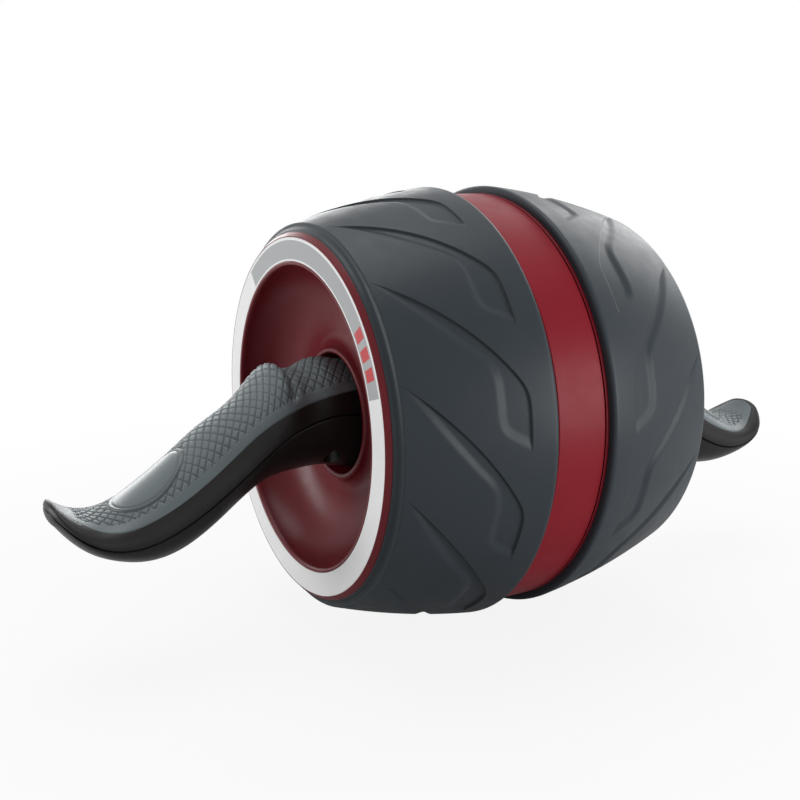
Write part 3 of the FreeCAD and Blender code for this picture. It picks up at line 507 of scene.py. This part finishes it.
def trimPaint():
    s = trimSpec
    material, tree, shader = newPaint("printedTrim", Roughness=s["roughness"], Specular_IOR_Level=s["gloss"])
    coords = addNode(tree, "ShaderNodeTexCoord")
    split = addNode(tree, "ShaderNodeSeparateXYZ")
    tree.links.new(coords.outputs["Object"], split.inputs["Vector"])
    x, z = split.outputs["X"], split.outputs["Z"]
    angle = arithmetic(tree, "ARCTAN2", z, x)
    squares = [arithmetic(tree, "MULTIPLY", part, part) for part in (x, z)]
    radius = arithmetic(tree, "SQRT", arithmetic(tree, "ADD", *squares))

    def within(field, low, high):
        # 1 where the field is closer to the middle of the span than half of it
        offset = arithmetic(tree, "ABSOLUTE", arithmetic(tree, "SUBTRACT", field, (low + high) / 2))
        return arithmetic(tree, "LESS_THAN", offset, (high - low) / 2)

    colour = (*s["white"], 1)
    zones = [(s["greyArc"], s["greyRadii"], s["grey"])] + [(arc, s["barRadii"], s["red"]) for arc in s["barArcs"]]
    for arc, radii, tone in zones:
        patch = arithmetic(tree, "MULTIPLY", within(angle, *(math.radians(turn) for turn in arc)),
                           within(radius, *(reach * mm for reach in radii)))
        colour = mixed(tree, "RGBA", patch, colour, (*tone, 1))
    tree.links.new(colour, shader.inputs["Base Color"])
    grain(tree, shader, s["grainScale"], s["grainHeight"] * mm)
    return material


trimFinish = trimPaint()
trimOutline = softCorners([
    (trimSpec["outer"], trimSpec["back"]), (trimSpec["outer"], trimSpec["face"], trimSpec["edgeRound"]),
    (trimSpec["inner"], trimSpec["face"], trimSpec["edgeRound"]), (trimSpec["inner"], trimSpec["back"])])
trimShape = turnedRing(trimOutline, trimSpec["segments"])
for side, way in sides.items():
    addPiece(f"trimRing_{side}", mirroredShape(trimShape, way), trimFinish,
             "wheel", "trim", f"trim_ring_{side}", sharp=40)
print("trim rings made")


# Handles: an oval section carried along the arm. Each section has its reach along the axle, the height
# of its middle, half its height and width, the height of the parting, and the shell's band above that.
handleSpec = {
    "reach": (50, 61, 72, 82, 90, 101, 119, 135, 150, 163, 174, 185),
    "level": (0, 0.6, 2.2, 0.5, 1.4, -4.9, -17.6, -28.5, -35.0, -36.3, -32.6, -22.0),
    "tall": (23.5, 23.2, 22.6, 21.1, 22.9, 19.5, 19.5, 18.2, 13.9, 9.2, 6.6, 4.1),
    "wide": (23.5, 23.2, 22.8, 22.0, 22.5, 22.5, 22.3, 22.0, 22.0, 21.5, 20.0, 13.5),
    "seam": (4.0, 4.3, 4.4, 2.1, -0.8, -7.9, -21.5, -31.6, -37.3, -37.6, -33.1, -22.8),
    "band": (9.5, 9.3, 8.0, 7.9, 8.7, 10.3, 10.8, 9.7, 8.2, 6.2, 5.5, 3.4),
    "fullness": 0.58, "partingGap": 0.4, "partingBevel": 0.45, "tipRound": 2.5, "heel": 150.0,
    "tipSweep": 10.0, "sweepHalf": 19.8, "tipBlend": 0.7,
    "gripThickness": 2.5, "gripTipThickness": 1.0, "gripEnd": 182.2, "gripBlend": 0.05,
    "edgeLimit": 0.94, "gripLimit": 0.98,  # how near the edges come to the top, in height and in t
    "bevelShare": 0.2, "leastBand": 0.02, "stepLean": 0.1, "endStep": 0.01,
    "rows": 180, "tipRows": 14, "tipTurn": 86, "sweepRows": 16, "sweepFirst": 0.05,
    "underColumns": 81, "partingColumns": 12, "bandColumns": 16, "overColumns": 60,
    "pocketRadius": 3.7, "pocketFloor": -9.0, "rootScrews": (15.2, 70.5), "armScrew": (122.0, -26.6),
    "pocketCut": 60, "pocketSides": 48, "pocketSharp": 35,
}


def throughStations(name, reach):
    # cubic spline through the sections: slopes solved for even curvature, with the end slopes taken
    # from the cubic through the four sections at each end
    knots, values = np.array(handleSpec["reach"], float), np.array(handleSpec[name], float)
    count, gap, rise = len(knots), np.diff(knots), np.diff(values)
    ends = [np.polyval(np.polyder(np.polyfit(knots[part] - knots[at], values[part], 3)), 0)
            for part, at in ((slice(0, 4), 0), (slice(-4, None), -1))]
    matrix, right = np.eye(count), np.zeros(count)
    right[0], right[-1] = ends
    inner = np.arange(1, count - 1)
    matrix[inner, inner - 1] = 1 / gap[:-1]
    matrix[inner, inner + 1] = 1 / gap[1:]
    matrix[inner, inner] = 2 * (1 / gap[:-1] + 1 / gap[1:])
    right[1:-1] = 3 * (rise[:-1] / gap[:-1] ** 2 + rise[1:] / gap[1:] ** 2)
    slope = np.linalg.solve(matrix, right)
    k = np.clip(np.searchsorted(knots, reach) - 1, 0, count - 2)
    t = (reach - knots[k]) / gap[k]
    return ((1 + 2 * t) * (1 - t) ** 2 * values[k] + t * (1 - t) ** 2 * gap[k] * slope[k]
            + t ** 2 * (3 - 2 * t) * values[k + 1] + t ** 2 * (t - 1) * gap[k] * slope[k + 1])


def sweptHalf(reach, end):
    # half width behind an arc, as seen from above, that comes out as far as the end
    sweep, half = handleSpec["tipSweep"], handleSpec["sweepHalf"]
    radius = (half ** 2 + sweep ** 2) / (2 * sweep)
    past = np.maximum(reach - (end - radius), 0)
    return np.sqrt(np.maximum(radius ** 2 - past ** 2, 0))


def sectionAt(reach):
    # middle height, half height and half width; over the last stretch the tip closes like an ellipse,
    # half height = tall sqrt(1 - f squared), with f from 0 to 1, and the width runs softly into the sweep
    tip, blend = handleSpec["reach"][-1], handleSpec["tipBlend"]
    back = tip - handleSpec["tipRound"]
    f = np.clip((reach - back) / handleSpec["tipRound"], 0, 1)
    level, tall, wide = (throughStations(name, np.minimum(reach, back + f)) for name in ("level", "tall", "wide"))
    wide = -blend * np.logaddexp(-wide / blend, -sweptHalf(reach, tip) / blend)
    return level, tall * np.sqrt(1 - f * f), wide


def ovalSide(t):
    # the quarter curve from the section's side (1, 0) at t = 0 to its top (0, 1) at t = 1
    full = handleSpec["fullness"]
    side = (1 - t) ** 3 + 3 * (1 - t) ** 2 * t + 3 * (1 - t) * t ** 2 * full
    rise = 3 * (1 - t) ** 2 * t * full + 3 * (1 - t) * t ** 2 + t ** 3
    return side, rise


def ovalWhere(part, value):
    # the t at which the quarter curve's side, part 0, or rise, part 1, has a value
    t = np.linspace(0, 1, tablePoints)
    curve = ovalSide(t)[part]
    return np.interp(value, curve, t) if part else np.interp(value, curve[::-1], t[::-1])


def ovalAt(height, reach):
    # the t of the oval at a height of the section, from -1 at the bottom over 0 at the side to 1 at the top
    level, tall = sectionAt(reach)[:2]
    limit = handleSpec["edgeLimit"]
    share = np.clip((height - level) / tall, -limit, limit)
    return np.sign(share) * ovalWhere(1, np.abs(share))


def onHandle(reach, t, inset):
    # a point of the section: t as above, and past 1 or -1 down or up the other side; the inset draws it in
    level, tall, wide = sectionAt(reach)
    across = np.where(t > 1, 2 - t, np.where(t < -1, -2 - t, t))
    side, rise = ovalSide(np.abs(across))
    way = np.where(np.abs(t) > 1, -1, 1)
    return np.stack(np.broadcast_arrays(
        way * side * (wide - inset), reach, level + np.sign(across) * rise * (tall - inset)), -1)


def gripEdge(reach):
    # the t of the grip's edge: along the shell's band, and softly from there round the swept end
    s = handleSpec
    band = ovalAt(throughStations("seam", reach) + throughStations("band", reach), reach)
    within = np.clip(sweptHalf(reach, s["gripEnd"]) / sectionAt(reach)[2], 0, 1)
    swept = ovalWhere(0, within)
    blend = s["gripBlend"]
    return np.minimum(blend * np.logaddexp(band / blend, swept / blend), s["gripLimit"])


def gripDepth(reach):
    # even as far as the heel, then thinning to the tip
    s = handleSpec
    past = np.clip((reach - s["heel"]) / (s["reach"][-1] - s["heel"]), 0, 1)
    return s["gripThickness"] - (s["gripThickness"] - s["gripTipThickness"]) * past


def handleRows(*extra):
    # rows from the root to the tip, close together where the tip rounds off
    s = handleSpec
    back = s["reach"][-1] - s["tipRound"]
    closing = back + s["tipRound"] * np.sin(np.radians(np.linspace(0, s["tipTurn"], s["tipRows"])))[1:]
    return np.sort(np.concatenate([np.linspace(s["reach"][0], back, s["rows"]), closing, extra]))[:, None]


def bevelAt(reach):
    return np.minimum(handleSpec["partingBevel"], handleSpec["bevelShare"] * sectionAt(reach)[1])


def partingFace(outer, reach, rise):
    # the flat face of the parting, a bevel in from the ends of the outer edge and a rise above them
    u = np.linspace(1, -1, handleSpec["partingColumns"])[None]
    across = u * (outer[:, :1, 0] - bevelAt(reach))
    return np.stack(np.broadcast_arrays(across, reach, outer[:, :1, 2] + rise), -1)


def lowerShell():
    # outer edge: under the arm from one side of the parting to the other, with bevelled corners;
    # inner edge: the flat parting face
    s = handleSpec
    reach = handleRows()
    bevel = bevelAt(reach)
    start = ovalAt(throughStations("seam", reach) - s["partingGap"] - bevel, reach)
    v = np.linspace(0, 1, s["underColumns"])[None]
    outer = onHandle(reach, start + (-2 - 2 * start) * v, 0)
    return closedBar(outer, partingFace(outer, reach, bevel))


def upperShell():
    # outer edge: up one side, over the core under the grip, and down the other, with bevelled corners;
    # inner edge: the flat parting face
    s = handleSpec
    end, step = s["gripEnd"], s["endStep"]
    sweepRows = end - s["tipSweep"] * np.linspace(s["sweepFirst"], 1, s["sweepRows"]) ** 2
    reach = handleRows(*sweepRows, end + step)
    bevel = bevelAt(reach)
    start = ovalAt(throughStations("seam", reach) + bevel, reach)
    edge = np.maximum(gripEdge(np.minimum(reach, end - step)), start + s["leastBand"])
    core = edge + s["stepLean"] * (1 - edge)  # the step down to the core leans a little under the grip
    band, over = (np.linspace(0, 1, s[name])[None] for name in ("bandColumns", "overColumns"))
    t = np.concatenate([start + (edge - start) * band, core + (2 - 2 * core) * over,
                        2 - edge + (edge - start) * band], 1)
    depth = np.where(reach > end, 0, gripDepth(reach)) * np.ones_like(t)
    depth[:, :band.size] = 0
    depth[:, -band.size:] = 0
    outer = onHandle(reach, t, depth)
    return closedBar(outer, partingFace(outer, reach, -bevel))


# Grip: knurl lengths run along the top of the arm; the pad is an oval as seen from above.
gripSpec = {
    "cells": 14, "knurlLength": 4.2, "knurlAcross": 4, "knurlDepth": 0.5, "knurlWidth": 0.09, "border": 4.6,
    "knurlStop": 175.5, "padReach": 145.4, "padHalfLength": 15.3, "padHalfWidth": 14.6, "padLift": 0.3,
    "padGroove": 0.5, "padGrooveWidth": 0.45, "padLineInset": 1.6, "valleyReach": 85.6, "valleyLean": 4.0,
    "valleyDepth": 1.5, "valleyWidth": 2.2, "edgeEase": 0.4, "edgeEaseRun": 0.8,
    "knurlFade": 0.5, "stopFade": 2.0, "padLineShare": 0.5, "borderPolish": 0.4,
    "endRun": 3.0, "endRows": 22, "endLast": 0.08, "endGap": 0.1, "coreColumns": 21,
}


def gripRelief(along, reach, v, skin):
    # lift over the plain skin, with the fields that the paint reads; knurl grooves lie where
    # along / length + v across or along / length - v across is a whole number
    g = gripSpec
    steps = np.linalg.norm(np.diff(skin, axis=1), axis=-1)
    arc = np.concatenate([np.zeros((len(reach), 1)), np.cumsum(steps, 1)], 1)
    toEdge = np.minimum(arc, arc[:, -1:] - arc)
    grooves = np.zeros_like(arc)
    for lean in (1, -1):
        phase = along[:, None] / g["knurlLength"] + lean * v * g["knurlAcross"]
        grooves = np.maximum(grooves, np.exp(-((phase - np.round(phase)) / g["knurlWidth"]) ** 2))
    padPlace = np.hypot((reach - g["padReach"]) / g["padHalfLength"], skin[..., 0] / g["padHalfWidth"])
    fromPad = (padPlace - 1) * g["padHalfWidth"]
    clear = ease((toEdge - g["border"]) / g["knurlFade"]) * ease(fromPad / g["knurlFade"])
    clear *= ease((g["knurlStop"] - reach) / g["stopFade"])
    outline = np.exp(-(fromPad / g["padGrooveWidth"]) ** 2)
    inset = g["padLineShare"] * np.exp(-((fromPad + g["padLineInset"]) / g["padGrooveWidth"]) ** 2)
    lines = np.maximum(outline, inset)
    valley = np.exp(-((reach - g["valleyReach"] - g["valleyLean"] * v * v) / g["valleyWidth"]) ** 2)
    lift = g["padLift"] * ease(-fromPad) - g["padGroove"] * lines - g["knurlDepth"] * grooves * clear
    lift -= g["valleyDepth"] * valley * ease((toEdge - g["border"] / 2) / g["border"])
    lift -= g["edgeEase"] * (1 - ease(toEdge / g["edgeEaseRun"]))
    polish = np.maximum(ease(-fromPad), g["borderPolish"] * (1 - clear))
    # painted shade: the first field darkens the knurl grooves and the pad's lines; polish only smooths the
    # roughness
    return lift, {"crease": np.maximum(grooves * clear, lines), "polish": polish}


def gripPad():
    # outer edge: the skin over the top, v from -1 to 1, with its diamond knurl, smooth border and smooth
    # oval pad; inner edge: the core that it is moulded on
    s, g = handleSpec, gripSpec
    guess = np.linspace(s["reach"][0], s["gripEnd"], tablePoints)[:, None]
    topLine = onHandle(guess, 1.0, 0)
    length = np.concatenate([[0], np.cumsum(np.linalg.norm(np.diff(topLine[:, 0], axis=0), axis=1))])
    closing = length[-1] - g["endRun"] * np.linspace(1, g["endLast"], g["endRows"]) ** 2
    along = np.append(np.arange(0, closing[0] - g["endGap"], g["knurlLength"] / g["cells"]), closing)
    reach = np.interp(along, length, guess[:, 0])[:, None]
    edge = gripEdge(reach)
    half = g["knurlAcross"] * g["cells"]
    v = np.linspace(-1, 1, 2 * half + 1)[None]
    skin = onHandle(reach, 1 + v * (1 - edge), 0)
    core = onHandle(reach, 1 + np.linspace(-1, 1, g["coreColumns"])[None] * (1 - edge), gripDepth(reach))
    normal = gridNormals(skin)
    normal *= np.sign(normal[:, half:half + 1, 2:])
    lift, fields = gripRelief(along, reach, v, skin)
    plain = np.zeros((len(reach), core.shape[1]))
    fields = {name: np.concatenate([field, plain], 1).ravel() for name, field in fields.items()}
    return closedBar(skin + normal * lift[..., None], core), fields


def cutPockets(piece, way):
    # screw pockets: round holes from below, cut out of the lower shell
    s = handleSpec
    across, reach = s["rootScrews"]
    depth = s["pocketCut"]
    for x, y, z in ((across, reach, s["pocketFloor"]), (-across, reach, s["pocketFloor"]), (0, *s["armScrew"])):
        bpy.ops.mesh.primitive_cylinder_add(
            vertices=s["pocketSides"], radius=s["pocketRadius"] * mm, depth=depth * mm,
            location=(x * mm, way * y * mm, (z - depth / 2) * mm))
        cutter = bpy.context.object
        pocket = piece.modifiers.new("pocket", "BOOLEAN")
        pocket.object = cutter
        pocket.solver = "EXACT"
        cut = bpy.data.meshes.new_from_object(piece.evaluated_get(bpy.context.evaluated_depsgraph_get()))
        piece.modifiers.clear()
        piece.data = cut
        bpy.data.objects.remove(cutter)
    piece.data.set_sharp_from_angle(angle=math.radians(s["pocketSharp"]))


upperShape, lowerShape = upperShell(), lowerShell()
gripShape, gripFields = gripPad()
for side, way in sides.items():
    addPiece(f"handleUpper_{side}", mirroredShape(upperShape, way), paints["handlePlastic"],
             "handles", "handle_plastic", f"handle_upper_{side}", sharp=40)
    lower = addPiece(f"handleLower_{side}", mirroredShape(lowerShape, way), paints["handlePlastic"],
                     "handles", "handle_plastic", f"handle_lower_{side}")
    cutPockets(lower, way)
    addPiece(f"handleGrip_{side}", mirroredShape(gripShape, way), paints["gripRubber"],
             "handles", "grip_rubber", f"grip_{side}", sharp=60, **gripFields)
print("handles made:", 2 * sum(len(shape[1]) for shape in (upperShape, lowerShape, gripShape)), "faces")


# Inner hardware keeps its CAD shape and gets a finish of its own.

def metalPaint(name, dark, light, rough, stretch):
    # drawn or plated steel: fine streaks along the stretch, in tone and in roughness
    material, tree, shader = newPaint(name, Metallic=1.0)
    streaks = noiseField(tree, noiseSpec["streaks"], noiseSpec["detail"], stretch)
    tree.links.new(twoTone(tree, streaks, dark, light), shader.inputs["Base Color"])
    tree.links.new(ranged(tree, streaks, noiseSpec["span"], *rough), shader.inputs["Roughness"])
    return material


# metals: a dark and a light tone, the span of the roughness, and how the streaks are drawn out
metalSpec = {
    "drawnSteel": {"dark": (0.42, 0.43, 0.44), "light": (0.55, 0.56, 0.57), "rough": (0.28, 0.42),
                   "stretch": (1, 0.05, 1)},
    "platedSteel": {"dark": (0.52, 0.53, 0.53), "light": (0.64, 0.65, 0.66), "rough": (0.22, 0.36),
                    "stretch": (1, 1, 1)},
    "bluedSpring": {"dark": (0.16, 0.18, 0.22), "light": (0.26, 0.28, 0.33), "rough": (0.30, 0.45),
                    "stretch": (1, 8, 1)},
}
paints.update({name: metalPaint(name, **spec) for name, spec in metalSpec.items()})
innerFinish = {
    "axle": "drawnSteel", "spring_arbor": "drawnSteel", "power_spring": "bluedSpring",
    "bushing": "bearingPlastic", "spring_case": "drumPlastic", "spring_cover": "drumPlastic",
}
for nodeName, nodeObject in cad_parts.items():
    if nodeObject.hide_render:
        continue
    base = nodeName.removesuffix("_left").removesuffix("_right")
    nodeObject.data.materials.clear()
    nodeObject.data.materials.append(paints[innerFinish.get(base, "platedSteel")])
print("inner hardware finished")


# Stage: a pale floor and a white surround, with soft lamps.
stageSpec = {"floorLevel": -95.2, "floorHalf": 4.0, "floorTone": (0.62, 0.62, 0.62), "whiteShare": 0.88,
             "shadeReach": (0.12, 0.50), "glossReach": (0.12, 0.38), "ambient": 0.30}


def seenDirectly(tree):
    # 1 for rays that show a surface as such: from the camera, off gloss or through glass
    rays = addNode(tree, "ShaderNodeLightPath").outputs
    shown = arithmetic(tree, "MAXIMUM", rays["Is Camera Ray"], rays["Is Glossy Ray"])
    return arithmetic(tree, "MAXIMUM", shown, rays["Is Transmission Ray"])


def shownAs(tree, share, first, second, output):
    # the first shader where the share is 0 and the second where it is 1, led to the tree's output
    mix = addNode(tree, "ShaderNodeMixShader")
    for source, socket in zip((share, first.outputs[0], second.outputs[0]), mix.inputs):
        tree.links.new(source, socket)
    tree.links.new(mix.outputs[0], tree.nodes[output].inputs["Surface"])


def floorPaint():
    material, tree, shader = newPaint("paleFloor", Roughness=0.9, Specular_IOR_Level=0.0)
    shader.inputs["Base Color"].default_value = (*stageSpec["floorTone"], 1)
    glow = addNode(tree, "ShaderNodeEmission", Color=(1, 1, 1, 1), Strength=1.0)
    coords = addNode(tree, "ShaderNodeTexCoord")
    distance = addNode(tree, "ShaderNodeVectorMath", operation="LENGTH")
    tree.links.new(coords.outputs["Object"], distance.inputs[0])

    def fading(reach, least):
        # from the least share near the object to a full one further out
        return ranged(tree, distance.outputs["Value"], reach, least, 1, interpolation_type="SMOOTHSTEP")

    # the object's gloss shows the floor close by in the object's own shade
    offGloss = addNode(tree, "ShaderNodeLightPath").outputs["Is Glossy Ray"]
    white = mixed(tree, "FLOAT", offGloss, fading(stageSpec["shadeReach"], stageSpec["whiteShare"]),
                  fading(stageSpec["glossReach"], 0))
    shownAs(tree, arithmetic(tree, "MULTIPLY", seenDirectly(tree), white), shader, glow, "Material Output")
    return material


floorMesh = bpy.data.meshes.new("floor")
half, level = stageSpec["floorHalf"], stageSpec["floorLevel"] * mm
floorMesh.from_pydata([(-half, -half, level), (half, -half, level), (half, half, level), (-half, half, level)],
                      [], [(0, 1, 2, 3)])
floorMesh.materials.append(floorPaint())
floor = bpy.data.objects.new("floor", floorMesh)
bpy.context.scene.collection.objects.link(floor)

world = bpy.data.worlds.new("studio")
bpy.context.scene.world = world
world.use_nodes = True
skyTree = world.node_tree
lit = skyTree.nodes["Background"]
lit.inputs["Color"].default_value = (1, 1, 1, 1)
lit.inputs["Strength"].default_value = stageSpec["ambient"]
shown = addNode(skyTree, "ShaderNodeBackground", Color=(1, 1, 1, 1), Strength=1.0)
shownAs(skyTree, seenDirectly(skyTree), lit, shown, "World Output")


def standing(name, data, right, up, place):
    # a lamp or camera at its place, with its right and up; it looks against right x up
    stand = bpy.data.objects.new(name, data)
    turn = np.eye(4)
    turn[:3] = np.stack([right, up, np.cross(right, up), place], -1)
    stand.matrix_world = Matrix(turn.tolist())
    bpy.context.scene.collection.objects.link(stand)
    return stand


def unit(direction):
    return np.array(direction, float) / np.linalg.norm(direction)


# lamps: where each stands and aims, its width and height in metres, and its power in watts
lampSpec = {
    "keyLamp": {"place": (0.58, 0.36, 0.09), "aim": (0, 0, 0), "size": (0.40, 0.36), "power": 2.6},
    "rimLamp": {"place": (-0.50, 1.20, 0.60), "aim": (0, 0.05, 0.05), "size": (0.9, 0.9), "power": 7},
    "backLamp": {"place": (-1.25, 0.20, 0.30), "aim": (0, 0, 0), "size": (0.9, 0.5), "power": 6},
    "topLamp": {"place": (-0.25, -0.10, 1.40), "aim": (0, 0, 0), "size": (1.0, 1.0), "power": 9.5},
    "sideLamp": {"place": (-0.55, -1.25, 0.12), "aim": (0, -0.1, 0), "size": (0.7, 0.7), "power": 10},
}
for lampName, spec in lampSpec.items():
    light = bpy.data.lights.new(lampName, "AREA")
    light.shape, light.energy = "RECTANGLE", spec["power"]
    light.size, light.size_y = spec["size"]
    back = unit(np.subtract(spec["place"], spec["aim"]))
    right = unit(np.cross((0, 0, 1), back))
    standing(lampName, light, right, np.cross(back, right), spec["place"])

# camera: where it stands, which way is right and up in the picture, and its lens
cameraSpec = {"place": (0.4250, -0.2711, 0.1103), "right": (0.4947, 0.8690, 0.0),
              "up": (-0.1874, 0.1067, 0.9765), "lens": 50.96, "sensor": 36.0}
cameraData = bpy.data.cameras.new("camera")
cameraData.lens, cameraData.sensor_width = cameraSpec["lens"], cameraSpec["sensor"]
cameraData.clip_start = 0.01
right = unit(cameraSpec["right"])
up = unit(cameraSpec["up"] - right * np.dot(right, cameraSpec["up"]))
bpy.context.scene.camera = standing("camera", cameraData, right, up, cameraSpec["place"])
bpy.context.scene.view_settings.view_transform = "Standard"
print("stage, lamps and camera set")
